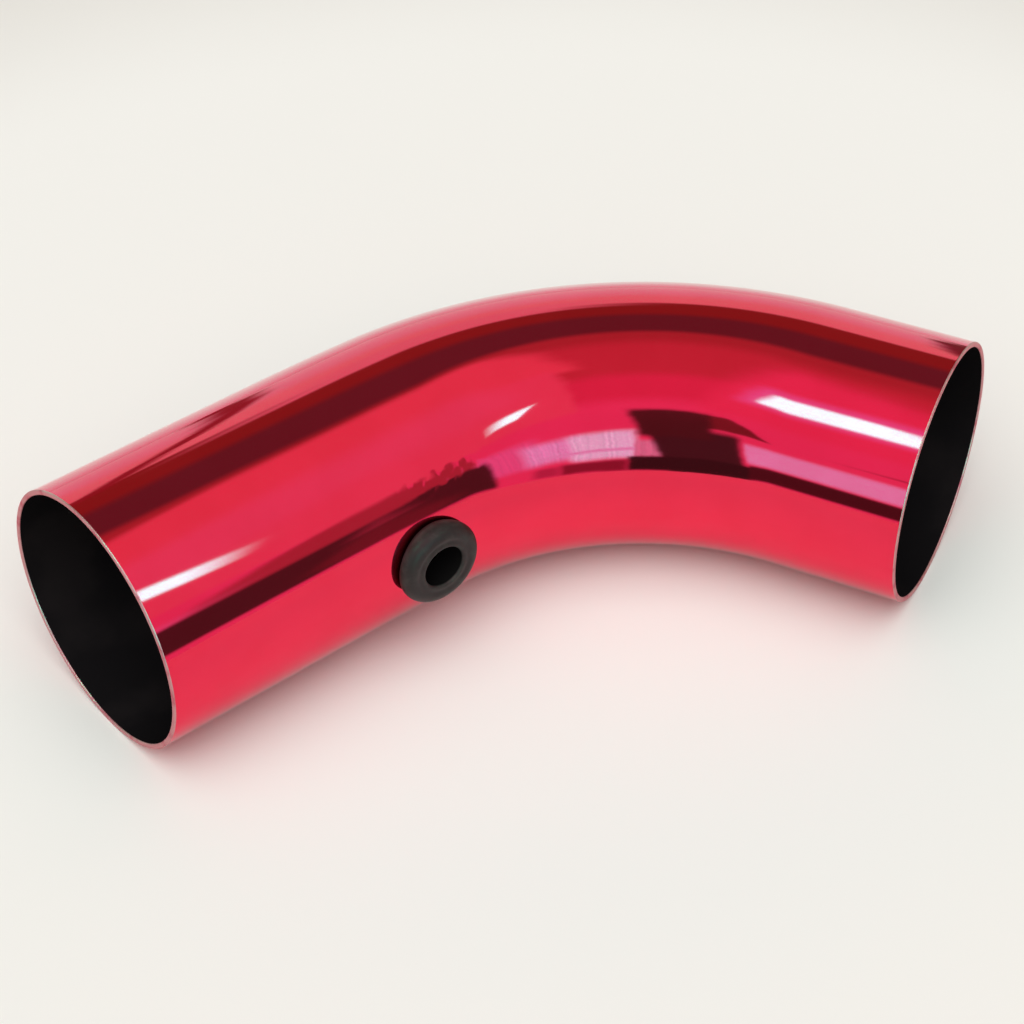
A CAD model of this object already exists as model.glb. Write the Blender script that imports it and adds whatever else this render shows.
"""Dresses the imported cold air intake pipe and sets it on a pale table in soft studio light.

The pipe is one length of thin aluminium tube: polished and lacquered red outside, black inside, bare on
its cut edges. A black rubber grommet sits in the hole drilled in the inner side of the long leg.
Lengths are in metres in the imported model's frame, and sizes named with _mm are in millimetres.
"""

import logging
import math
from dataclasses import dataclass, field
from enum import Enum

import bmesh
import bpy
from mathutils import Matrix, Vector


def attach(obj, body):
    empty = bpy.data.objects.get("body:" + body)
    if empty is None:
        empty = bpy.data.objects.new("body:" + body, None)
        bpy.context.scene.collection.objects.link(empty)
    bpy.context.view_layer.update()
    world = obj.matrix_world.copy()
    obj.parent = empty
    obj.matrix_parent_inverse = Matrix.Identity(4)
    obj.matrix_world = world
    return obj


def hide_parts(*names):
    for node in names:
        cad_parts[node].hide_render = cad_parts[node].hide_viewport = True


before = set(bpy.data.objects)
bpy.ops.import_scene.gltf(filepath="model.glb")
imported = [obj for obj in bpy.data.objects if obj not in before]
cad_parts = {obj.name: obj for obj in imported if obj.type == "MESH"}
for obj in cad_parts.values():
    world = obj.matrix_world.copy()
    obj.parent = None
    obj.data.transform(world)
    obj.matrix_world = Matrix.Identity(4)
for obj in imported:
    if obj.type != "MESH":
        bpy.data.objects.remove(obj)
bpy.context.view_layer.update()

MM = 0.001
IMAGE_PX = 1024
SENSOR_MM = 36.0
SHADE_LAYER = "deep_shade"
UP = Vector((0.0, 0.0, 1.0)).freeze()
Colour = tuple[float, float, float]
Point = tuple[float, float]
Place = tuple[float, float, float]
Socket = bpy.types.NodeSocket
Feed = Socket | float | tuple[float, ...]

# Angles past every direction in the studio, for cards that have no end on a side.
BEYOND = 200.0
PAST_NEAR = 300.0
ALL_SIDES: Point = (-BEYOND, BEYOND)

log = logging.getLogger("intake_pipe")


class Slot(Enum):
    """The record's material slots."""

    TUBE = "red_tube"
    RUBBER = "black_rubber"


class Ray(Enum):
    """The kinds of ray that a stage piece can be hidden from, by Blender's names."""

    CAMERA = "visible_camera"
    DIFFUSE = "visible_diffuse"
    GLOSSY = "visible_glossy"
    TRANSMISSION = "visible_transmission"
    SHADOW = "visible_shadow"


def opaque(colour: Colour) -> tuple[float, float, float, float]:
    """Returns a colour with full alpha."""
    return (*colour, 1.0)


@dataclass
class NodeSheet:
    """Adds nodes to one tree and joins them."""

    tree: bpy.types.NodeTree

    def add(self, kind: str, inputs: dict | None = None, **settings) -> bpy.types.Node:
        """Adds a node.

        Args:
            kind: Blender's name for the node.
            inputs: what goes in each socket, by name or number: another socket, or a value.
            **settings: the node's own properties.

        Returns:
            The new node.
        """
        node = self.tree.nodes.new(kind)
        for name, value in settings.items():
            setattr(node, name, value)
        for key, value in (inputs or {}).items():
            self.feed(node.inputs[key], value)
        return node

    def feed(self, socket: Socket, value: Feed) -> None:
        """Joins a socket to another one, or sets its value.

        Args:
            socket: the socket to feed.
            value: an output socket, or a plain value.
        """
        if isinstance(value, Socket):
            self.tree.links.new(value, socket)
        else:
            socket.default_value = value

    def maths(self, operation: str, *values: Feed) -> Socket:
        """Returns the result of a sum, by Blender's name for it, on sockets or numbers."""
        return self.add("ShaderNodeMath", dict(enumerate(values)), operation=operation).outputs[0]

    def vector_maths(self, operation: str, *values: Feed) -> Socket:
        """Returns the result of a sum on vectors: a number for a length or a dot product, else a vector."""
        node = self.add("ShaderNodeVectorMath", dict(enumerate(values)), operation=operation)
        return node.outputs["Value" if operation in ("LENGTH", "DOT_PRODUCT") else "Vector"]

    def scaled(self, vector: Feed, scale: Feed) -> Socket:
        """Returns a vector made longer or shorter."""
        node = self.add("ShaderNodeVectorMath", {0: vector, "Scale": scale}, operation="SCALE")
        return node.outputs["Vector"]

    def object_place(self) -> Socket:
        """Returns the place on the object, in its own coordinates."""
        return self.add("ShaderNodeTexCoord").outputs["Object"]

    def smooth_step(self, value: Feed, low: Feed, high: Feed) -> Socket:
        """Returns a soft step, from 0 where the value is low to 1 where it is high."""
        inputs = {"Value": value, "From Min": low, "From Max": high}
        return self.add("ShaderNodeMapRange", inputs, interpolation_type="SMOOTHSTEP").outputs["Result"]

    def band(self, value: Feed, rising: tuple[Feed, Feed], falling: tuple[Feed, Feed]) -> Socket:
        """Returns a soft band: 1 between two soft steps, given by their starts and ends, and 0 past them."""
        past = self.maths("SUBTRACT", 1.0, self.smooth_step(value, *falling))
        return self.maths("MULTIPLY", self.smooth_step(value, *rising), past)

    def noise(self, vector: Feed, scale: float, detail: float = 2.0, roughness: float = 0.5) -> Socket:
        """Returns noise round 0.5, by its cells a metre and its finer layers' number and strength."""
        inputs = {"Vector": vector, "Scale": scale, "Detail": detail, "Roughness": roughness}
        return self.add("ShaderNodeTexNoise", inputs).outputs["Fac"]

    def blend(self, share: Feed, under: Feed, over: Feed) -> Socket:
        """Mixes two colours.

        Args:
            share: how much of over shows.
            under: the colour at 0, or a socket with it.
            over: the colour at 1, or a socket with it.

        Returns:
            The socket with the mixed colour.
        """
        node = self.add("ShaderNodeMix", {0: share}, data_type="RGBA", clamp_factor=True)
        for place, colour in ((6, under), (7, over)):
            self.feed(node.inputs[place], opaque(colour) if isinstance(colour, tuple) else colour)
        return node.outputs[2]

    def bump(self, height: Feed, distance: float, strength: float = 1.0, under: Feed | None = None) -> Socket:
        """Adds a bump.

        Args:
            height: the socket with the height, from 0 to 1.
            distance: how high 1 is, in metres.
            strength: how much of the bump shows.
            under: the normal of a bump that this one lies on, if it lies on one.

        Returns:
            The socket with the bumped normal.
        """
        inputs = {"Height": height, "Strength": strength, "Distance": distance}
        if under is not None:
            inputs["Normal"] = under
        return self.add("ShaderNodeBump", inputs).outputs["Normal"]

    def surface(self, inputs: dict) -> None:
        """Ends the tree in a principled surface with these inputs."""
        shader = self.add("ShaderNodeBsdfPrincipled", inputs)
        self.add("ShaderNodeOutputMaterial", {"Surface": shader.outputs["BSDF"]})


def new_material(name: str) -> tuple[bpy.types.Material, NodeSheet]:
    """Makes a material with an empty node tree.

    Args:
        name: its name.

    Returns:
        The material and its sheet of nodes.
    """
    material = bpy.data.materials.new(name)
    material.use_nodes = True
    material.node_tree.nodes.clear()
    return material, NodeSheet(material.node_tree)


@dataclass(frozen=True)
class LacquerFinish:
    """Polished aluminium under a clear red lacquer, with the slight unevenness of a sprayed coat."""

    name: str = "red_lacquer"
    colour: Colour = (0.87, 0.0285, 0.080)
    deep_colour: Colour = (0.845, 0.0265, 0.074)
    edge_tint: Colour = (0.95, 0.45, 0.55)
    metal_roughness: float = 0.055
    coat_roughness: float = 0.015
    coat_ior: float = 1.16
    cloud_per_m: float = 60.0
    cloud_band: Point = (0.35, 0.65)
    wave_per_m: float = 34.0
    wave_height: float = 0.00003
    peel_per_m: float = 420.0
    peel_height: float = 0.0000012
    ripple_at: Place = (-0.0319, 0.0089, 0.0609)
    ripple_spread: Place = (0.0180, 0.0068, 0.0068)
    ripple_fade: Point = (0.4, 1.1)
    ripple_per_m: float = 400.0
    ripple_height: float = 0.00009

    def material(self) -> bpy.types.Material:
        """Returns the finish as a material."""
        made, sheet = new_material(self.name)
        place = sheet.object_place()
        cloud = sheet.smooth_step(sheet.noise(place, self.cloud_per_m, 3.0), *self.cloud_band)
        from_ripple = sheet.vector_maths("SUBTRACT", place, self.ripple_at)
        share = sheet.vector_maths("DIVIDE", from_ripple, self.ripple_spread)
        reach = sheet.vector_maths("LENGTH", share)
        rippled = sheet.maths("SUBTRACT", 1.0, sheet.smooth_step(reach, *self.ripple_fade))
        ripple_at = sheet.maths("MULTIPLY", sheet.noise(place, self.ripple_per_m, 0.0), rippled)
        ripple = sheet.bump(ripple_at, self.ripple_height)
        wave = sheet.bump(sheet.noise(place, self.wave_per_m, 1.0), self.wave_height, under=ripple)
        peel = sheet.bump(sheet.noise(place, self.peel_per_m, 2.0), self.peel_height, under=wave)
        sheet.surface(
            {
                "Base Color": sheet.blend(cloud, self.deep_colour, self.colour),
                "Metallic": 1.0,
                "Roughness": self.metal_roughness,
                "Specular Tint": opaque(self.edge_tint),
                "Normal": peel,
                "Coat Weight": 1.0,
                "Coat Roughness": self.coat_roughness,
                "Coat IOR": self.coat_ior,
                "Coat Normal": wave,
            }
        )
        return made


@dataclass(frozen=True)
class BareEdgeFinish:
    """Sawn and deburred aluminium, with a trace of the red that crept over it."""

    name: str = "bare_edge"
    colour: Colour = (0.58, 0.29, 0.30)
    red: Colour = (0.50, 0.10, 0.14)
    spark: Colour = (1.0, 0.5, 0.55)
    metallic: float = 0.85
    roughness: float = 0.42
    creep_per_m: float = 180.0
    creep_band: Point = (0.5, 0.75)
    grain_per_m: float = 900.0
    grain_height: float = 0.00002
    grain_strength: float = 0.6

    def material(self) -> bpy.types.Material:
        """Returns the finish as a material."""
        made, sheet = new_material(self.name)
        place = sheet.object_place()
        creep = sheet.smooth_step(sheet.noise(place, self.creep_per_m, 3.0), *self.creep_band)
        grain = sheet.noise(place, self.grain_per_m, 3.0, 0.7)
        sheet.surface(
            {
                "Base Color": sheet.blend(creep, self.colour, self.red),
                "Metallic": self.metallic,
                "Roughness": self.roughness,
                "Specular Tint": opaque(self.spark),
                "Normal": sheet.bump(grain, self.grain_height, self.grain_strength),
            }
        )
        return made


@dataclass(frozen=True)
class BlackBoreFinish:
    """Thin matt black coat on the inside of the tube."""

    name: str = "black_bore"
    colour: Colour = (0.0080, 0.0072, 0.0078)
    dusty: Colour = (0.0130, 0.0110, 0.0115)
    roughness: float = 0.62
    dust_per_m: float = 45.0
    dust_band: Point = (0.4, 0.7)
    speck_per_m: float = 700.0
    speck_height: float = 0.00003
    speck_strength: float = 0.5

    def material(self) -> bpy.types.Material:
        """Returns the finish as a material."""
        made, sheet = new_material(self.name)
        place = sheet.object_place()
        dust = sheet.smooth_step(sheet.noise(place, self.dust_per_m, 4.0), *self.dust_band)
        speck = sheet.noise(place, self.speck_per_m, 2.0)
        sheet.surface(
            {
                "Base Color": sheet.blend(dust, self.colour, self.dusty),
                "Roughness": self.roughness,
                "Specular IOR Level": 0.0,
                "Normal": sheet.bump(speck, self.speck_height, self.speck_strength),
            }
        )
        return made


@dataclass(frozen=True)
class RubberFinish:
    """Moulded black rubber with a satin skin."""

    name: str = "moulded_rubber"
    colour: Colour = (0.020, 0.0200, 0.0185)
    bloom: Colour = (0.038, 0.037, 0.033)
    shade: Colour = (0.0062, 0.0058, 0.0058)
    sheen: Colour = (1.0, 0.46, 0.56)
    specular: float = 0.25
    roughness_range: Point = (0.40, 0.58)
    roughness_band: Point = (0.3, 0.7)
    cloud_per_m: float = 260.0
    bloom_band: Point = (0.4, 0.7)
    skin_per_m: float = 1500.0
    skin_height: float = 0.000025
    skin_strength: float = 0.5

    def material(self) -> bpy.types.Material:
        """Returns the finish as a material."""
        made, sheet = new_material(self.name)
        place = sheet.object_place()
        cloud = sheet.noise(place, self.cloud_per_m, 4.0, 0.6)
        skin = sheet.noise(place, self.skin_per_m, 3.0, 0.6)
        (least, most), (low, high) = self.roughness_range, self.roughness_band
        inputs = {"Value": cloud, "From Min": low, "From Max": high, "To Min": least, "To Max": most}
        hidden = sheet.add("ShaderNodeAttribute", None, attribute_name=SHADE_LAYER).outputs["Fac"]
        bloomed = sheet.blend(sheet.smooth_step(cloud, *self.bloom_band), self.colour, self.bloom)
        sheet.surface(
            {
                "Base Color": sheet.blend(hidden, bloomed, self.shade),
                "Roughness": sheet.add("ShaderNodeMapRange", inputs).outputs["Result"],
                "Specular IOR Level": sheet.maths("MULTIPLY_ADD", hidden, -self.specular, self.specular),
                "Specular Tint": opaque(self.sheen),
                "Normal": sheet.bump(skin, self.skin_height, self.skin_strength),
            }
        )
        return made


@dataclass(frozen=True)
class TableFinish:
    """Plain pale table top, a little darker far from the middle of the view."""

    name: str = "pale_table"
    colour: Colour = (0.830, 0.852, 0.815)
    wide_colour: Colour = (0.878, 0.865, 0.82)
    far_colour: Colour = (0.745, 0.72, 0.67)
    wide_band_m: Point = (0.09, 0.19)
    far_band_m: Point = (0.30, 0.46)
    roughness: float = 0.9
    specular: float = 0.1

    def material(self) -> bpy.types.Material:
        """Returns the finish as a material."""
        made, sheet = new_material(self.name)
        distance = sheet.vector_maths("LENGTH", sheet.object_place())
        near = sheet.blend(sheet.smooth_step(distance, *self.wide_band_m), self.colour, self.wide_colour)
        far = sheet.smooth_step(distance, *self.far_band_m)
        sheet.surface(
            {
                "Base Color": sheet.blend(far, near, self.far_colour),
                "Roughness": self.roughness,
                "Specular IOR Level": self.specular,
            }
        )
        return made


def mesh_object(name: str, mesh: bpy.types.Mesh) -> bpy.types.Object:
    """Puts a mesh in the scene as an object at the origin.

    Args:
        name: the object's name.
        mesh: its mesh.

    Returns:
        The object.
    """
    made = bpy.data.objects.new(name, mesh)
    bpy.context.scene.collection.objects.link(made)
    return made


def loop_mesh(name: str, points: list[Place], closed: bool) -> bpy.types.Mesh:
    """Makes a mesh of edges that joins points in order.

    Args:
        name: the mesh's name.
        points: where its vertices are.
        closed: whether the last point joins the first.

    Returns:
        The mesh.
    """
    edges = [(k, k + 1) for k in range(len(points) - 1)]
    if closed:
        edges.append((len(points) - 1, 0))
    mesh = bpy.data.meshes.new(name)
    mesh.from_pydata(points, edges, [])
    return mesh


@dataclass(frozen=True)
class TubeRun:
    """The run of the tube's centreline, flat at one height: long leg, gentle curve, bend, short leg."""

    long_leg_mm: float = 71.0
    ease_len_mm: float = 30.0
    ease_r_mm: float = 650.0
    bend_r_mm: float = 114.0
    turn_deg: float = 65.4
    short_leg_mm: float = 38.0
    start_mm: Point = (-124.8108, 39.6772)
    height_mm: float = 38.0
    curve_step_mm: float = 0.75

    @property
    def ease_turn(self) -> float:
        """Angle that the gentle curve turns through, in radians."""
        return self.ease_len_mm / self.ease_r_mm

    @property
    def bend_start(self) -> float:
        """Run at which the bend starts."""
        return self.long_leg_mm + self.ease_len_mm

    @property
    def bend_end(self) -> float:
        """Run at which the bend ends."""
        return self.bend_start + self.bend_r_mm * (math.radians(self.turn_deg) - self.ease_turn)

    @property
    def length(self) -> float:
        """The whole run, from mouth to mouth."""
        return self.bend_end + self.short_leg_mm

    def eased(self, run: float) -> float:
        """Returns how far the gentle curve has turned at a run, in radians."""
        return min(max(run - self.long_leg_mm, 0.0), self.ease_len_mm) / self.ease_r_mm

    def heading(self, run: float) -> float:
        """Returns the angle turned towards -Y at a run, in radians."""
        bent = min(max(run - self.bend_start, 0.0), self.bend_end - self.bend_start) / self.bend_r_mm
        return self.eased(run) + bent

    def at(self, run: float) -> Vector:
        """Returns the point of the centreline at a run, in metres.

        Args:
            run: distance from the long leg's mouth, in millimetres.

        Returns:
            The point.
        """
        eased, turned = self.eased(run), self.heading(run)
        x = min(run, self.long_leg_mm) + self.ease_r_mm * math.sin(eased)
        y = -self.ease_r_mm * (1.0 - math.cos(eased))
        x += self.bend_r_mm * (math.sin(turned) - math.sin(eased))
        y -= self.bend_r_mm * (math.cos(eased) - math.cos(turned))
        past = max(run - self.bend_end, 0.0)
        x += past * math.cos(turned)
        y -= past * math.sin(turned)
        return Vector((self.start_mm[0] + x, self.start_mm[1] + y, self.height_mm)) * MM

    def inward(self, run: float) -> Vector:
        """Returns the direction from the centreline to the inner side of the bend at a run."""
        turned = self.heading(run)
        return Vector((-math.sin(turned), -math.cos(turned), 0.0))

    def path_points(self) -> list[Place]:
        """Returns close points along the centreline, from mouth to mouth."""
        steps = math.ceil(self.length / self.curve_step_mm)
        return [tuple(self.at(self.length * k / steps)) for k in range(steps + 1)]


@dataclass
class IntakePipe:
    """The bent tube: a wall section swept round and along the run, then drilled for the grommet."""

    run: TubeRun = field(default_factory=TubeRun)
    tube_d_mm: float = 76.0
    wall_mm: float = 1.5
    mouth_edge_r_mm: float = 0.4
    edge_steps: int = 6
    guard_mm: float = 0.06
    along_step_mm: float = 1.6
    around: int = 180
    drilled_d_mm: float = 18.0
    drill_depth_mm: float = 14.0
    drill_sides: int = 120
    crease_deg: float = 40.0
    grommet_run_mm: float = 85.0
    name: str = "lacquered_tube"
    node: str = "intake_pipe"

    def wall_points(self) -> list[Place]:
        """Returns the wall's closed section: x is the distance from the wall's middle, -y the run.

        The long sides have a row close to each rounded edge, so that the rounding's shading stays there.
        """
        half, r, end = self.wall_mm / 2, self.mouth_edge_r_mm, self.run.length
        straight = [r, r + self.guard_mm]
        steps = math.ceil(end / self.along_step_mm)
        straight += [end * k / steps for k in range(1, steps)]
        straight += [end - r - self.guard_mm, end - r]
        side = [(half, y) for y in straight]
        lip = []
        for corner, start in (((half - r, end - r), 0.0), ((r - half, end - r), 90.0)):
            for k in range(self.edge_steps + 1):
                turn = math.radians(start + 90.0 * k / self.edge_steps)
                lip.append((corner[0] + r * math.cos(turn), corner[1] + r * math.sin(turn)))
        half_loop = side + lip[1:-1]
        other_half = [(-x, end - y) for x, y in half_loop]
        return [(x * MM, -y * MM, 0.0) for x, y in half_loop + other_half]

    def sweep_tree(self) -> bpy.types.NodeTree:
        """Builds the tree that turns the wall's section into the drilled tube.

        Returns:
            The tree. Its inputs are the section, the path and the tube's sizes and finishes.
        """
        tree = bpy.data.node_groups.new("bent_tube", "GeometryNodeTree")
        for kind, labels in (
            ("Geometry", ("Section",)),
            ("Object", ("Path",)),
            ("Int", ("Around",)),
            ("Float", ("Wall middle radius", "Lip depth", "Length", "Drill run", "Drill radius")),
            ("Material", ("Outside", "Edge", "Inside")),
        ):
            for label in labels:
                tree.interface.new_socket(label, in_out="INPUT", socket_type=f"NodeSocket{kind}")
        tree.interface.new_socket("Tube", in_out="OUTPUT", socket_type="NodeSocketGeometry")
        sheet = NodeSheet(tree)
        given = sheet.add("NodeGroupInput").outputs
        section = sheet.add("GeometryNodeMeshToCurve", {0: given["Section"]}).outputs[0]
        circle = {"Resolution": given["Around"], "Radius": given["Wall middle radius"]}
        ring = sheet.add("GeometryNodeCurvePrimitiveCircle", circle).outputs["Curve"]
        swept = sheet.add("GeometryNodeCurveToMesh", {"Curve": ring, "Profile Curve": section})
        dressed = swept.outputs["Mesh"]
        placed = sheet.add("GeometryNodeInputPosition").outputs["Position"]
        parts = sheet.add("ShaderNodeSeparateXYZ", {"Vector": placed}).outputs
        flat = sheet.vector_maths("MULTIPLY", placed, (1.0, 1.0, 0.0))
        radius = sheet.vector_maths("LENGTH", flat)
        outside = sheet.maths("GREATER_THAN", radius, given["Wall middle radius"])
        near_start = sheet.maths("LESS_THAN", parts["Z"], given["Lip depth"])
        last_lip = sheet.maths("SUBTRACT", given["Length"], given["Lip depth"])
        near_end = sheet.maths("GREATER_THAN", parts["Z"], last_lip)
        on_lip = sheet.maths("MAXIMUM", near_start, near_end)
        for label, chosen in (("Inside", True), ("Outside", outside), ("Edge", on_lip)):
            inputs = {"Geometry": dressed, "Material": given[label], "Selection": chosen}
            dressed = sheet.add("GeometryNodeSetMaterial", inputs).outputs["Geometry"]
        path = sheet.add("GeometryNodeObjectInfo", {"Object": given["Path"]}).outputs["Geometry"]
        path = sheet.add("GeometryNodeMeshToCurve", {0: path}).outputs[0]
        moved = self.along_path(sheet, path, parts["Z"], parts["X"], parts["Y"])
        bent = sheet.add("GeometryNodeSetPosition", {"Geometry": dressed, "Position": moved})
        cut = sheet.add("GeometryNodeMeshBoolean", operation="DIFFERENCE", solver="EXACT")
        sheet.feed(cut.inputs["Mesh 1"], bent.outputs["Geometry"])
        sheet.feed(cut.inputs["Mesh 2"], self.drill(sheet, path, given))
        every_face = {"Geometry": cut.outputs["Mesh"], "Shade Smooth": True}
        smooth = sheet.add("GeometryNodeSetShadeSmooth", every_face)
        angle = sheet.add("GeometryNodeInputMeshEdgeAngle").outputs["Unsigned Angle"]
        crisp = sheet.maths("GREATER_THAN", angle, math.radians(self.crease_deg))
        creased = sheet.add(
            "GeometryNodeSetShadeSmooth",
            {"Geometry": smooth.outputs[0], "Selection": crisp, "Shade Smooth": False},
            domain="EDGE",
        )
        real = sheet.add("GeometryNodeRealizeInstances", {"Geometry": creased.outputs[0]})
        end = sheet.add("NodeGroupOutput")
        sheet.feed(end.inputs["Tube"], real.outputs["Geometry"])
        return tree

    def drill(self, sheet: NodeSheet, path: Socket, given: bpy.types.NodeOutputs) -> Socket:
        """Adds the drill, which goes through the wall on the inner side of the long leg.

        Args:
            sheet: the tree's nodes.
            path: the centreline's curve.
            given: the tree's inputs.

        Returns:
            The socket with the drill's mesh.
        """
        sizes = {
            "Vertices": self.drill_sides,
            "Radius": given["Drill radius"],
            "Depth": self.drill_depth_mm * MM,
        }
        rod = sheet.add("GeometryNodeMeshCylinder", sizes, fill_type="NGON").outputs["Mesh"]
        centre = self.along_path(sheet, path, given["Drill run"], given["Wall middle radius"], 0.0)
        ahead = self.sampled(sheet, path, given["Drill run"]).outputs["Tangent"]
        inward = sheet.vector_maths("CROSS_PRODUCT", ahead, tuple(UP))
        aim = sheet.add("FunctionNodeAlignRotationToVector", {"Vector": inward}, axis="Z").outputs["Rotation"]
        aimed = {"Geometry": rod, "Translation": centre, "Rotation": aim}
        rod = sheet.add("GeometryNodeTransform", aimed).outputs["Geometry"]
        dressed = sheet.add("GeometryNodeSetMaterial", {"Geometry": rod, "Material": given["Edge"]})
        return dressed.outputs["Geometry"]

    @staticmethod
    def sampled(sheet: NodeSheet, path: Socket, run: Feed) -> bpy.types.Node:
        """Samples the path at a run.

        Args:
            sheet: the tree's nodes.
            path: the path's curve.
            run: the distance along it.

        Returns:
            The node, with a position and a tangent.
        """
        node = sheet.add("GeometryNodeSampleCurve", {"Curves": path}, mode="LENGTH", use_all_curves=True)
        sheet.feed(node.inputs["Length"], run)
        return node

    def along_path(self, sheet: NodeSheet, path: Socket, run: Feed, inward: Feed, up: Feed) -> Socket:
        """Gives the place of a point of the straight tube once the tube is bent.

        Args:
            sheet: the tree's nodes.
            path: the centreline's curve.
            run: the point's distance along the tube.
            inward: its distance from the centreline towards the inner side of the bend.
            up: its height above the centreline.

        Returns:
            The socket with the place.
        """
        spot = self.sampled(sheet, path, run).outputs
        side = sheet.vector_maths("CROSS_PRODUCT", spot["Tangent"], tuple(UP))
        side = sheet.vector_maths("NORMALIZE", side)
        rise = sheet.add("ShaderNodeCombineXYZ", {"Z": up}).outputs["Vector"]
        moved = sheet.vector_maths("ADD", spot["Position"], sheet.scaled(side, inward))
        return sheet.vector_maths("ADD", moved, rise)

    def build(self) -> bpy.types.Object:
        """Builds the tube, dresses it and lets it stand for its node.

        Returns:
            The tube's object.
        """
        path = mesh_object("tube_path", loop_mesh("tube_path", self.run.path_points(), closed=False))
        tube = mesh_object(self.name, loop_mesh("tube_section", self.wall_points(), closed=True))
        tree = self.sweep_tree()
        modifier = tube.modifiers.new("bent tube", "NODES")
        modifier.node_group = tree
        values = {
            "Path": path,
            "Wall middle radius": (self.tube_d_mm - self.wall_mm) / 2 * MM,
            "Around": self.around,
            "Lip depth": self.mouth_edge_r_mm * MM,
            "Length": self.run.length * MM,
            "Drill run": self.grommet_run_mm * MM,
            "Drill radius": self.drilled_d_mm / 2 * MM,
            "Outside": LacquerFinish().material(),
            "Edge": BareEdgeFinish().material(),
            "Inside": BlackBoreFinish().material(),
        }
        for item in tree.interface.items_tree:
            if item.in_out == "INPUT" and item.name in values:
                modifier[item.identifier] = values[item.name]
        made = bpy.data.meshes.new_from_object(tube.evaluated_get(bpy.context.evaluated_depsgraph_get()))
        tube.modifiers.clear()
        tube.data = made
        made.name = self.name
        bpy.data.objects.remove(path)
        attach(tube, "root")
        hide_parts(self.node)
        log.info("%s: %d faces, %d materials", tube.name, len(made.polygons), len(made.materials))
        return tube


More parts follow.
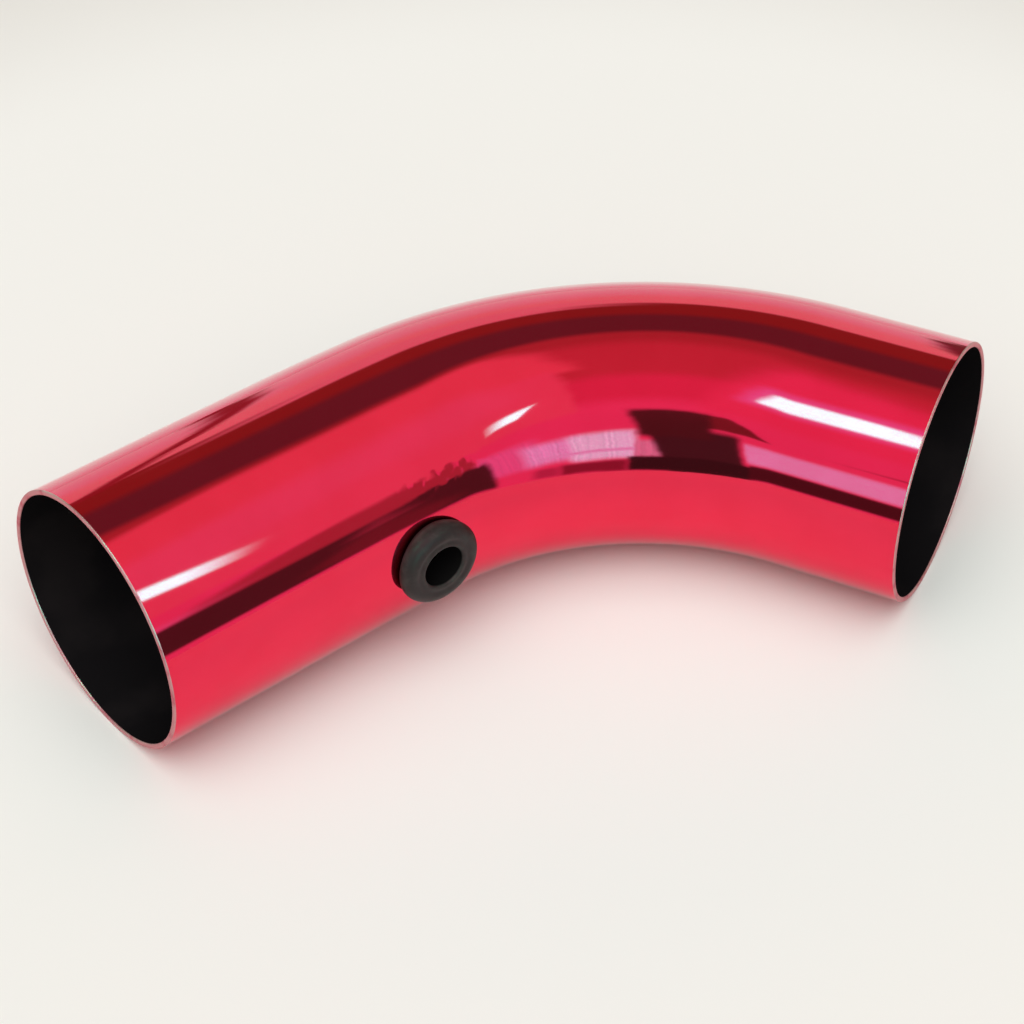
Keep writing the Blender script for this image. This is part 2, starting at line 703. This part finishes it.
@dataclass
class SensorGrommet:
    """The rubber grommet: a domed outer flange, a sleeve through the drilled hole and an inner flange."""

    pipe: IntakePipe = field(default_factory=IntakePipe)
    bore_d_mm: float = 12.4
    seat_gap_mm: float = 0.05
    lip_r_mm: float = 0.8
    outer_d_mm: float = 25.0
    outer_h_mm: float = 4.9
    shoulder_r_mm: float = 3.1
    curl_r_mm: float = 1.4
    inner_d_mm: float = 22.0
    inner_h_mm: float = 3.2
    lead_r_mm: float = 2.0
    dish_mm: float = 0.22
    corner_mm: float = 0.2
    ledge_mm: float = 0.3
    lip_steps: int = 8
    face_steps: int = 6
    shoulder_steps: int = 14
    lead_steps: int = 10
    lip_shade_steps: int = 3
    curl_shade_steps: int = 4
    around: int = 120
    name: str = "moulded_grommet"
    node: str = "sensor_grommet"

    def arc(self, centre: Point, r: float, start: float, stop: float, steps: int) -> list[Point]:
        """Returns points of an arc.

        Args:
            centre: its centre, as radius and height.
            r: its radius.
            start: the angle that it starts at, in degrees.
            stop: the angle that it ends at.
            steps: how many parts it has.

        Returns:
            The points in order.
        """
        made = []
        for k in range(steps + 1):
            angle = math.radians(start + (stop - start) * k / steps)
            made.append((centre[0] + r * math.cos(angle), centre[1] + r * math.sin(angle)))
        return made

    def outline(self) -> list[tuple[float, float, float, float]]:
        """Returns the closed section as radius, height over the tube's crest, share of the saddle and shade.

        Points with a share of 1 follow the tube's curved wall, and those with 0 stay level. Shade is 1
        in the bore and under the outer flange, where little light comes, and 0 on the open faces.
        """
        bore, lip = self.bore_d_mm / 2, self.lip_r_mm
        top, foot = self.outer_h_mm, self.seat_gap_mm
        outer, curl, shoulder = self.outer_d_mm / 2, self.curl_r_mm, self.shoulder_r_mm
        wall = self.pipe.wall_mm
        sleeve = self.pipe.drilled_d_mm / 2 - self.seat_gap_mm
        under = -wall - self.seat_gap_mm
        tail = -wall - self.inner_h_mm
        inner, lead = self.inner_d_mm / 2, self.lead_r_mm
        corner, ledge = self.corner_mm, self.ledge_mm
        level: list[tuple[float, float, float, float]] = []

        def put(points: list[Point], share: float, shade: float = 0.0) -> None:
            """Adds points that have one share and one shade."""
            level.extend((r, z, share, shade) for r, z in points)

        for k, point in enumerate(self.arc((bore + lip, top - lip), lip, 180.0, 90.0, self.lip_steps)):
            put([point], 0.0, max(1.0 - k / self.lip_shade_steps, 0.0))
        flat_end = outer - shoulder
        for k in range(1, self.face_steps):
            t = k / self.face_steps
            r = bore + lip + (flat_end - bore - lip) * t
            put([(r, top - self.dish_mm * math.sin(math.pi * t) ** 2)], 0.0)
        put(self.arc((flat_end, top - shoulder), shoulder, 90.0, 0.0, self.shoulder_steps), 0.0)
        curl_top = top - shoulder
        for k, (r, z) in enumerate(self.arc((outer - curl, curl_top), curl, 0.0, -90.0, self.lip_steps)[1:]):
            level_z = foot + (z - (curl_top - curl)) * (curl_top - foot) / curl
            shade = min(max((k - 1) / self.curl_shade_steps, 0.0), 1.0)
            put([(r, level_z)], (k + 1) / self.lip_steps, shade)
        put([(sleeve + ledge, foot), (sleeve, foot), (sleeve, foot - corner)], 1.0, 1.0)
        put([(sleeve, under + corner), (sleeve, under), (sleeve + ledge, under)], 1.0, 1.0)
        put([(inner - corner, under), (inner, under - corner)], 1.0, 0.5)
        put(self.arc((inner - lead, tail + lead), lead, 0.0, -90.0, self.lead_steps), 0.0)
        open_steps = self.lip_steps - self.lip_shade_steps
        for k, point in enumerate(self.arc((bore + lip, tail + lip), lip, 270.0, 180.0, self.lip_steps)):
            put([point], 0.0, max(k - open_steps, 0) / self.lip_shade_steps)
        return level

    def build(self) -> bpy.types.Object:
        """Revolves the outline, seats it on the tube and dresses it.

        Returns:
            The grommet's object.
        """
        outline = self.outline()
        run = self.pipe.run
        spot, out = run.at(self.pipe.grommet_run_mm), run.inward(self.pipe.grommet_run_mm)
        along = UP.cross(out)
        tube_r = self.pipe.tube_d_mm / 2
        shape = bmesh.new()
        rows = []
        shades = []
        for r, z, share, shade in outline:
            wall_r = tube_r if z > -self.pipe.wall_mm / 2 else tube_r - self.pipe.wall_mm
            row = []
            for k in range(self.around):
                turn = 2 * math.pi * k / self.around
                across = r * math.sin(turn)
                sag = wall_r - math.sqrt(max(wall_r**2 - across**2, 0.0))
                height = tube_r + z - sag * share
                place = spot + (out * height + along * (r * math.cos(turn)) + UP * across) * MM
                row.append(shape.verts.new(place))
                shades.append(shade)
            rows.append(row)
        for a, b in zip(rows, rows[1:] + rows[:1]):
            for k in range(self.around):
                j = (k + 1) % self.around
                shape.faces.new((a[k], a[j], b[j], b[k]))
        bmesh.ops.recalc_face_normals(shape, faces=shape.faces)
        for face in shape.faces:
            face.smooth = True
        mesh = bpy.data.meshes.new(self.name)
        shape.to_mesh(mesh)
        shape.free()
        mesh.attributes.new(SHADE_LAYER, "FLOAT", "POINT").data.foreach_set("value", shades)
        mesh.materials.append(RubberFinish().material())
        grommet = mesh_object(self.name, mesh)
        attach(grommet, "root")
        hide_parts(self.node)
        log.info("%s: %d faces", grommet.name, len(mesh.polygons))
        return grommet


@dataclass(frozen=True)
class Card:
    """A soft-edged light or dark card, far off in the studio and seen only in reflections.

    Side angles run from the camera's left, below 0, to its right, and rise angles from the far
    horizon at 0 over the top at 90 to the near horizon at 180. All are in degrees.
    """

    name: str
    side: Point
    rise: Point
    light: Colour
    side_soft: float = 2.0
    rise_soft: float = 2.0
    slant: float = 0.0
    streaks: float = 0.0


@dataclass(frozen=True)
class NearCard:
    """A soft-edged flat lamp that hangs level over the table and is seen only in reflections.

    Its corner and its two edges are given as millimetres to the camera's right and away from it.
    """

    name: str
    height_mm: float
    corner_mm: Point
    along_mm: Point
    across_mm: Point
    light: Colour
    along_fades: Point = (0.3, 0.3)
    across_fades: Point = (0.3, 0.3)

    def material(self) -> bpy.types.Material:
        """Returns a glow that fades to clear towards the card's edges."""
        made, sheet = new_material(self.name)
        made.cycles.emission_sampling = "NONE"
        spot = sheet.add("ShaderNodeSeparateXYZ", {"Vector": sheet.add("ShaderNodeTexCoord").outputs["UV"]})
        along, across = (
            sheet.band(spot.outputs[axis], (0.0, first), (1.0 - last, 1.0))
            for axis, (first, last) in (("X", self.along_fades), ("Y", self.across_fades))
        )
        cover = sheet.maths("MULTIPLY", along, across)
        glow = sheet.add("ShaderNodeEmission", {"Color": opaque(self.light), "Strength": 1.0})
        clear = sheet.add("ShaderNodeBsdfTransparent")
        both = sheet.add("ShaderNodeMixShader", {0: cover, 1: clear.outputs[0], 2: glow.outputs[0]})
        sheet.add("ShaderNodeOutputMaterial", {"Surface": both.outputs[0]})
        return made


@dataclass
class Studio:
    """Soft light round the table: a dome that is brighter in front, and the cards that the tube reflects."""

    camera_side_deg: float = -129.16
    dome_tint: Colour = (1.0, 0.995, 0.985)
    dome_far_level: float = 0.15
    dome_steps: tuple[Place, ...] = (
        (45.0, 68.0, 0.27),
        (80.0, 90.0, 1.40),
        (100.0, 112.0, 1.20),
        (131.0, 156.0, -2.60),
    )
    dome_level: float = 1.27
    dome_right_gain: float = -0.10
    dome_side_gain: float = -0.90
    dome_side_band: Point = (0.2, 0.75)
    behind_cards: Colour = (0.84, 0.83, 0.80)
    table_drop_mm: float = 0.02
    table_front_m: float = 0.214
    floor_r_m: float = 3.0
    side_waver: Point = (9.0, 2.4)
    rise_waver: Point = (6.0, 2.0)
    streaks_per_degree: float = 1.1
    near_cards: tuple[NearCard, ...] = (
        NearCard(
            "far_table_glow", -0.01, (-2142.8, -337.2), (3920.0, 792.0), (-594.0, 2940.0),
            (0.86, 1.5, 1.3), (0.01, 0.01), (0.1, 0.01),
        ),
        NearCard(
            "left_lamp", 400.0, (165.2, -168.6), (168.0, -26.5), (112.0, -86.0),
            (1.15, 28.0, 13.0), (0.06, 0.75), (0.3, 0.3),
        ),
    )
    cards: tuple[Card, ...] = (
        Card("far_backdrop", ALL_SIDES, (-BEYOND, 33.0), (0.86, 2.0, 1.55), 2.0, 4.0),
        Card("far_backdrop_high", ALL_SIDES, (17.0, 40.0), (0.87, 1.75, 1.15), 2.0, 10.0),
        Card("far_wall_low", ALL_SIDES, (30.5, PAST_NEAR), (0.26, 0.17, 0.09), 2.0, 2.5),
        Card("far_backdrop_low", (-9.0, 1.5), (24.0, 34.5), (0.84, 1.6, 1.2), 5.0, 2.5),
        Card("far_wall_high", ALL_SIDES, (46.5, PAST_NEAR), (0.145, 0.18, 0.14), 2.0, 7.0),
        Card("ceiling_edge", ALL_SIDES, (66.5, PAST_NEAR), (0.44, 0.3, 0.22), 2.0, 6.0),
        Card("ceiling", ALL_SIDES, (77.0, PAST_NEAR), (0.6, 0.36, 0.33), 2.0, 12.0),
        Card("ceiling_near", ALL_SIDES, (108.0, PAST_NEAR), (0.76, 0.34, 0.52), 2.0, 10.0),
        Card("near_wall", ALL_SIDES, (130.0, PAST_NEAR), (0.88, 0.55, 0.88), 2.0, 12.0),
        Card("left_ceiling", (11.7, BEYOND), (69.0, 99.0), (0.87, 0.72, 0.66), 4.0, 5.0),
        Card("left_ceiling_near", (17.5, BEYOND), (96.0, 136.0), (0.88, 0.76, 0.8), 3.0, 5.0, 0.12),
        Card("left_glow", (26.0, 46.0), (86.0, 112.0), (0.88, 0.86, 0.95), 10.0, 16.0),
        Card("right_ceiling", (-BEYOND, -12.0), (80.0, 135.0), (0.88, 0.48, 0.72), 8.0, 12.0),
        Card("right_lamp_halo", (-42.0, -17.0), (103.0, 121.0), (0.9, 1.4, 2.2), 5.0, 7.0),
        Card("right_lamp", (-42.0, -21.0), (107.5, 118.0), (1.15, 28.0, 13.0), 3.0, 3.0),
        Card("left_wall", (57.3, BEYOND), (134.0, 158.0), (0.44, 0.33, 0.31), 2.0, 8.0),
        Card("window_edge", (36.0, 57.0), (150.0, 179.0), (0.88, 1.35, 1.9), 6.0, 9.0, 0.0, 0.5),
        Card("window_side", (22.0, 42.0), (156.5, 177.0), (0.88, 4.8, 4.4), 6.0, 9.0, 0.0, 0.8),
        Card("window", (5.0, 26.5), (156.0, 180.0), (0.88, 8.6, 5.7), 4.0, 6.0, 0.0, 0.8),
        Card("window_bar", (5.0, 38.0), (171.0, 173.5), (0.84, 4.6, 4.1), 3.0, 2.0),
        Card("window_end", (-3.5, 5.5), (165.0, 180.0), (0.8, 3.0, 2.5), 1.5, 5.0, 0.0, 0.9),
        Card("right_window", (-60.0, -30.5), (157.5, 175.5), (0.88, 4.2, 3.8), 2.0, 5.0, -0.2),
        Card("dark_card_tail", (-28.0, -5.0), (139.0, 150.5), (0.2, 0.17, 0.13), 3.0, 2.0, -1.3),
        Card("dark_card_tall", (-31.0, -2.5), (153.0, 201.0), (0.066, 0.15, 0.1), 3.5, 6.0, -0.2),
        Card("dark_card_top", (-17.0, 5.5), (138.5, 161.0), (0.08, 0.14, 0.09), 3.5, 4.5, -0.15),
        Card("left_dark_card", (53.5, 90.0), (155.0, 192.0), (0.085, 0.14, 0.1), 3.0, 6.0),
        Card("left_dark_gap", (63.4, 90.0), (152.0, 168.0), (0.28, 0.26, 0.26), 1.2, 7.0),
        Card("left_dark_gap_low", (63.4, 90.0), (168.0, 192.0), (0.17, 0.17, 0.14), 1.2, 7.0),
        Card("under_table", (-36.0, 8.0), (179.0, 192.0), (0.045, 0.11, 0.07), 3.0, 3.0),
        Card("under_table_right", (-60.0, -33.0), (177.3, 192.0), (0.08, 0.1, 0.08), 2.0, 3.0),
        Card("under_table_left", (8.0, 31.0), (182.0, 192.0), (0.28, 0.15, 0.21), 4.0, 4.0),
        Card("under_table_far_left", (31.0, 40.0), (183.0, 192.0), (0.52, 0.3, 0.5), 5.0, 4.0),
        Card("far_post", (-15.1, -13.7), (-3.0, 34.0), (0.3, 0.14, 0.12), 0.9, 2.0, 0.08),
        Card("far_post_right", (14.2, 40.0), (-6.0, 33.0), (0.18, 0.18, 0.13), 0.7, 4.0, -0.05),
    )

    def far(self) -> Vector:
        """Returns the level direction away from the camera."""
        angle = math.radians(self.camera_side_deg + 180.0)
        return Vector((math.cos(angle), math.sin(angle), 0.0))

    def right(self) -> Vector:
        """Returns the level direction to the camera's right."""
        return self.far().cross(UP)

    def card_group(self) -> bpy.types.NodeTree:
        """Builds the group that lays one card over what is behind it.

        Returns:
            The group. Its inputs are in the order in which laid_cards feeds them.
        """
        tree = bpy.data.node_groups.new("studio_card", "ShaderNodeTree")
        ends = ("Side low", "Side high", "Rise low", "Rise high")
        for label in ("Side", "Rise", *ends, "Side soft", "Rise soft", "Slant", "Streaks"):
            tree.interface.new_socket(label, in_out="INPUT", socket_type="NodeSocketFloat")
        for label in ("Behind", "Light"):
            tree.interface.new_socket(label, in_out="INPUT", socket_type="NodeSocketVector")
        tree.interface.new_socket("Seen", in_out="OUTPUT", socket_type="NodeSocketVector")
        sheet = NodeSheet(tree)
        given = sheet.add("NodeGroupInput").outputs
        middle = sheet.maths("MULTIPLY", sheet.maths("ADD", given["Rise low"], given["Rise high"]), 0.5)
        lean = sheet.maths("MULTIPLY", sheet.maths("SUBTRACT", given["Rise"], middle), given["Slant"])
        side = sheet.maths("SUBTRACT", given["Side"], lean)
        bands = []
        for value, name in ((side, "Side"), (given["Rise"], "Rise")):
            half = sheet.maths("MULTIPLY", given[f"{name} soft"], 0.5)
            rising, falling = (
                (sheet.maths("SUBTRACT", given[end], half), sheet.maths("ADD", given[end], half))
                for end in (f"{name} low", f"{name} high")
            )
            bands.append(sheet.band(value, rising, falling))
        cover = sheet.maths("MULTIPLY", *bands)
        lines = sheet.add(
            "ShaderNodeTexNoise",
            {"W": given["Side"], "Scale": self.streaks_per_degree, "Detail": 2.0},
            noise_dimensions="1D",
        ).outputs["Fac"]
        gain = sheet.maths("MULTIPLY_ADD", sheet.maths("SUBTRACT", lines, 0.5), given["Streaks"], 1.0)
        light = sheet.scaled(given["Light"], gain)
        mixed = sheet.add("ShaderNodeMix", {0: cover, 4: given["Behind"], 5: light}, data_type="VECTOR")
        end = sheet.add("NodeGroupOutput")
        sheet.feed(end.inputs["Seen"], mixed.outputs[1])
        return tree

    def light_world(self) -> None:
        """Builds the world: the dome for the camera and matt surfaces, the cards for polished ones."""
        world = bpy.data.worlds.new("studio")
        world.use_nodes = True
        world.node_tree.nodes.clear()
        sheet = NodeSheet(world.node_tree)
        look = sheet.add("ShaderNodeTexCoord").outputs["Generated"]
        ahead = sheet.vector_maths("DOT_PRODUCT", look, tuple(self.far()))
        across = sheet.vector_maths("DOT_PRODUCT", look, tuple(self.right()))
        up = sheet.add("ShaderNodeSeparateXYZ", {"Vector": look}).outputs["Z"]
        side = sheet.maths("DEGREES", sheet.maths("ARCSINE", across))
        rise = sheet.maths("DEGREES", sheet.maths("ARCTAN2", up, ahead))
        rise = sheet.maths("WRAP", rise, 270.0, -90.0)
        side = self.waver(sheet, look, side, self.side_waver)
        rise = self.waver(sheet, look, rise, self.rise_waver)
        seen = self.laid_cards(sheet, side, rise)
        cards = sheet.add("ShaderNodeBackground", {"Color": seen, "Strength": 1.0})
        level = self.dome_strength(sheet, across, rise)
        dome = sheet.add("ShaderNodeBackground", {"Color": opaque(self.dome_tint), "Strength": level})
        ray = sheet.add("ShaderNodeLightPath").outputs
        polished = sheet.maths("MAXIMUM", ray["Is Glossy Ray"], ray["Is Transmission Ray"])
        both = sheet.add("ShaderNodeMixShader", {0: polished, 1: dome.outputs[0], 2: cards.outputs[0]})
        sheet.add("ShaderNodeOutputWorld", {"Surface": both.outputs[0]})
        bpy.context.scene.world = world

    def laid_cards(self, sheet: NodeSheet, side: Socket, rise: Socket) -> Socket:
        """Lays the far cards over each other in order.

        Args:
            sheet: the world's nodes.
            side: the side angle of the direction.
            rise: its rise angle.

        Returns:
            The socket with the light that comes from that direction.
        """
        group = self.card_group()
        seen = self.behind_cards
        for card in self.cards:
            node = sheet.add("ShaderNodeGroup", None, node_tree=group, label=card.name)
            values = (side, rise, *card.side, *card.rise, card.side_soft, card.rise_soft)
            values += (card.slant, card.streaks, seen, card.light)
            for socket, value in zip(node.inputs, values):
                sheet.feed(socket, value)
            seen = node.outputs["Seen"]
        return seen

    def dome_strength(self, sheet: NodeSheet, across: Socket, rise: Socket) -> Socket:
        """Gives how bright the dome is in a direction.

        Args:
            sheet: the world's nodes.
            across: how far the direction points to the camera's right, from -1 to 1.
            rise: its rise angle.

        Returns:
            The socket with the strength.
        """
        level = self.dome_far_level
        for low, high, change in self.dome_steps:
            level = sheet.maths("MULTIPLY_ADD", sheet.smooth_step(rise, low, high), change, level)
        sideways = sheet.smooth_step(sheet.maths("ABSOLUTE", across), *self.dome_side_band)
        gain = sheet.maths("MULTIPLY_ADD", sideways, self.dome_side_gain, 1.0)
        gain = sheet.maths("MULTIPLY_ADD", across, self.dome_right_gain, gain)
        return sheet.maths("MULTIPLY", sheet.maths("MULTIPLY", level, gain), self.dome_level)

    @staticmethod
    def waver(sheet: NodeSheet, look: Socket, angle: Socket, waver: Point) -> Socket:
        """Makes an angle waver by some degrees with direction, so that the cards' edges aren't ruled."""
        cloud = sheet.maths("SUBTRACT", sheet.noise(look, waver[0], 2.0), 0.5)
        return sheet.maths("MULTIPLY_ADD", cloud, waver[1], angle)

    def lay_table(self) -> None:
        """Lays the pale table: one sheet for the camera and one, cut short in front, for reflections."""
        finish = TableFinish().material()
        height = -self.table_drop_mm * MM
        r = self.floor_r_m
        corners = [(x, y, 2 * height) for x, y in ((-r, -r), (r, -r), (r, r), (-r, r))]
        floor = self.sheet_object("table_floor", corners, finish)
        self.hide_from(floor, Ray.GLOSSY, Ray.TRANSMISSION)
        front, back = -self.table_front_m, 2 * r - self.table_front_m
        corners = [
            tuple(self.right() * side + self.far() * away + UP * height)
            for side, away in ((-r, front), (r, front), (r, back), (-r, back))
        ]
        top = self.sheet_object("table_in_reflections", corners, finish)
        self.hide_from(top, Ray.CAMERA, Ray.DIFFUSE, Ray.SHADOW)

    def hang_near_cards(self) -> None:
        """Hangs the near cards over the table, out of the camera's sight."""
        far, right = self.far(), self.right()
        for card in self.near_cards:
            corner = right * card.corner_mm[0] + far * card.corner_mm[1] + UP * card.height_mm
            along = right * card.along_mm[0] + far * card.along_mm[1]
            across = right * card.across_mm[0] + far * card.across_mm[1]
            corners = [corner, corner + along, corner + along + across, corner + across]
            piece = self.sheet_object(card.name, [tuple(place * MM) for place in corners], card.material())
            layer = piece.data.uv_layers.new(name="card")
            for loop, place in zip(layer.data, ((0.0, 0.0), (1.0, 0.0), (1.0, 1.0), (0.0, 1.0))):
                loop.uv = place
            self.hide_from(piece, Ray.CAMERA, Ray.DIFFUSE, Ray.SHADOW)

    @staticmethod
    def sheet_object(name: str, corners: list[Place], finish: bpy.types.Material) -> bpy.types.Object:
        """Makes a flat stage piece.

        Args:
            name: its name.
            corners: its corners, in order.
            finish: its material.

        Returns:
            The piece, marked as stage.
        """
        mesh = bpy.data.meshes.new(name)
        mesh.from_pydata(corners, [], [tuple(range(len(corners)))])
        mesh.materials.append(finish)
        made = mesh_object(name, mesh)
        return made

    @staticmethod
    def hide_from(piece: bpy.types.Object, *rays: Ray) -> None:
        """Hides a stage piece from some kinds of ray."""
        for ray in rays:
            setattr(piece, ray.value, False)

    def build(self) -> None:
        """Builds the world, the table and the near cards."""
        self.light_world()
        self.lay_table()
        self.hang_near_cards()
        log.info("studio: %d far cards, %d near cards", len(self.cards), len(self.near_cards))


@dataclass
class PhotoCamera:
    """The camera at the photograph's viewing angle."""

    azimuth_deg: float = -39.162
    elevation_deg: float = 40.852
    roll_deg: float = -0.597
    target_mm: Place = (-12.394, 2.593, 38.0)
    distance_mm: float = 682.73
    focal_px: float = 2469.36
    clip_m: Point = (0.01, 20.0)

    def build(self) -> bpy.types.Object:
        """Makes the camera and gives it to the scene.

        Returns:
            The camera's object.
        """
        azimuth, elevation = math.radians(self.azimuth_deg), math.radians(self.elevation_deg)
        back = Vector(
            (
                math.sin(azimuth) * math.cos(elevation),
                -math.cos(azimuth) * math.cos(elevation),
                math.sin(elevation),
            )
        )
        level = (-back).cross(UP).normalized()
        upright = level.cross(-back)
        roll = math.radians(self.roll_deg)
        right = math.cos(roll) * level + math.sin(roll) * upright
        up = -math.sin(roll) * level + math.cos(roll) * upright
        lens = bpy.data.cameras.new("photo_camera")
        lens.sensor_width = SENSOR_MM
        lens.lens = self.focal_px / IMAGE_PX * SENSOR_MM
        lens.clip_start, lens.clip_end = self.clip_m
        made = bpy.data.objects.new("photo_camera", lens)
        bpy.context.scene.collection.objects.link(made)
        turn = Matrix((right, up, back)).transposed().to_4x4()
        place = (Vector(self.target_mm) + back * self.distance_mm) * MM
        made.matrix_world = Matrix.Translation(place) @ turn
        bpy.context.scene.camera = made
        log.info("camera: %.1f mm lens", lens.lens)
        return made


def main() -> None:
    """Builds the camera, the studio and the pieces in order."""
    logging.basicConfig(level=logging.INFO, format="%(name)s: %(message)s")
    bpy.context.scene.view_settings.view_transform = "Standard"
    PhotoCamera().build()
    Studio().build()
    pipe = IntakePipe()
    pipe.build()
    SensorGrommet(pipe=pipe).build()


if __name__ == "__main__":
    main()
